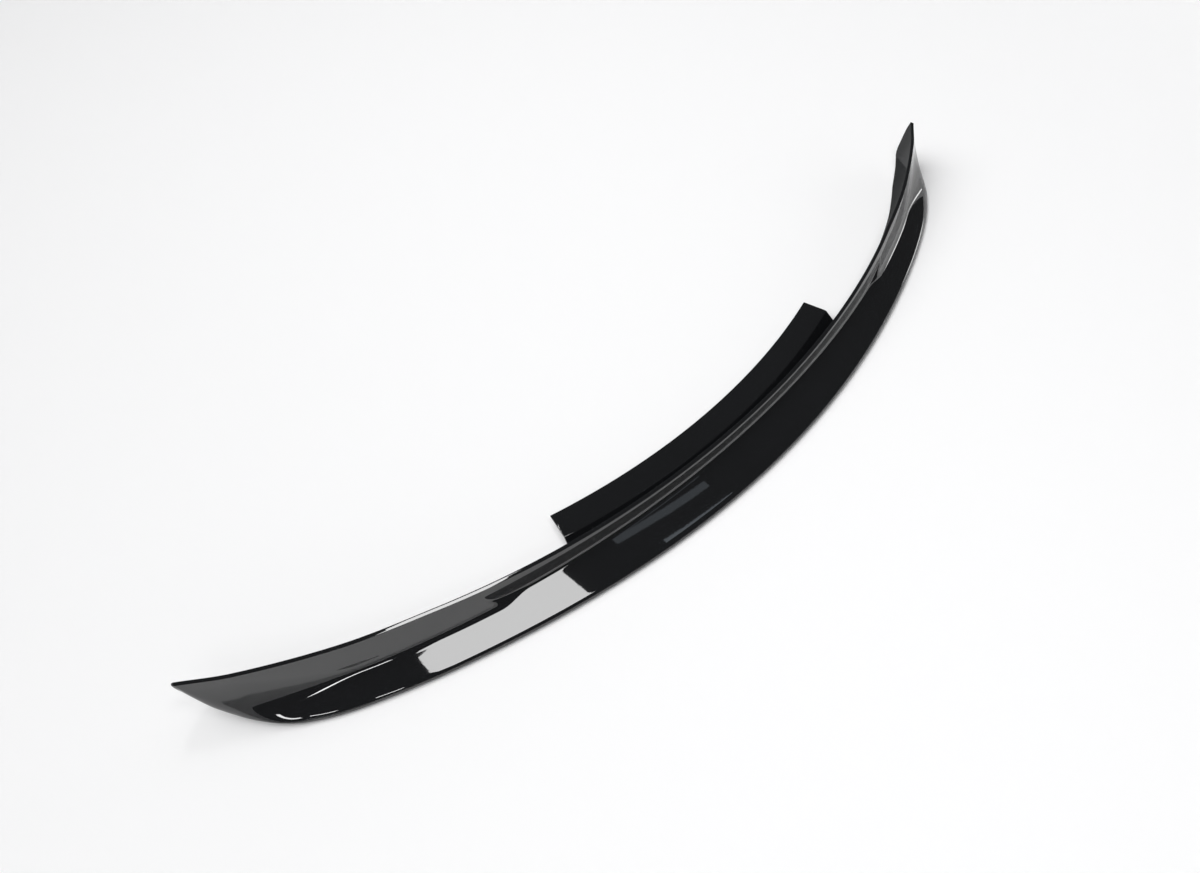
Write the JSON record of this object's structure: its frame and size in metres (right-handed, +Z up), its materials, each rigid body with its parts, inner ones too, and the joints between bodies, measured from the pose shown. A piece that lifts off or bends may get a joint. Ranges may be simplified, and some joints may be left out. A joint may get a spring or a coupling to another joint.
{
  "type": "front bumper lip",
  "caption": "Gloss black front bumper lip: a long swept blade with an upstanding rim, raised pointed ends, a recessed middle face and a flat rear mounting tab.",
  "frame": {"origin": "centre of the bounding box on the floor the lip lies on", "axes": "+X along the car's width, +Y rearward to the car, +Z up"},
  "size_m": [1.646, 0.302, 0.0859],
  "materials": {
    "gloss_black": "high gloss black"
  },
  "bodies": {
    "root": {"front_lip": "gloss_black"}
  },
  "joints": []
}
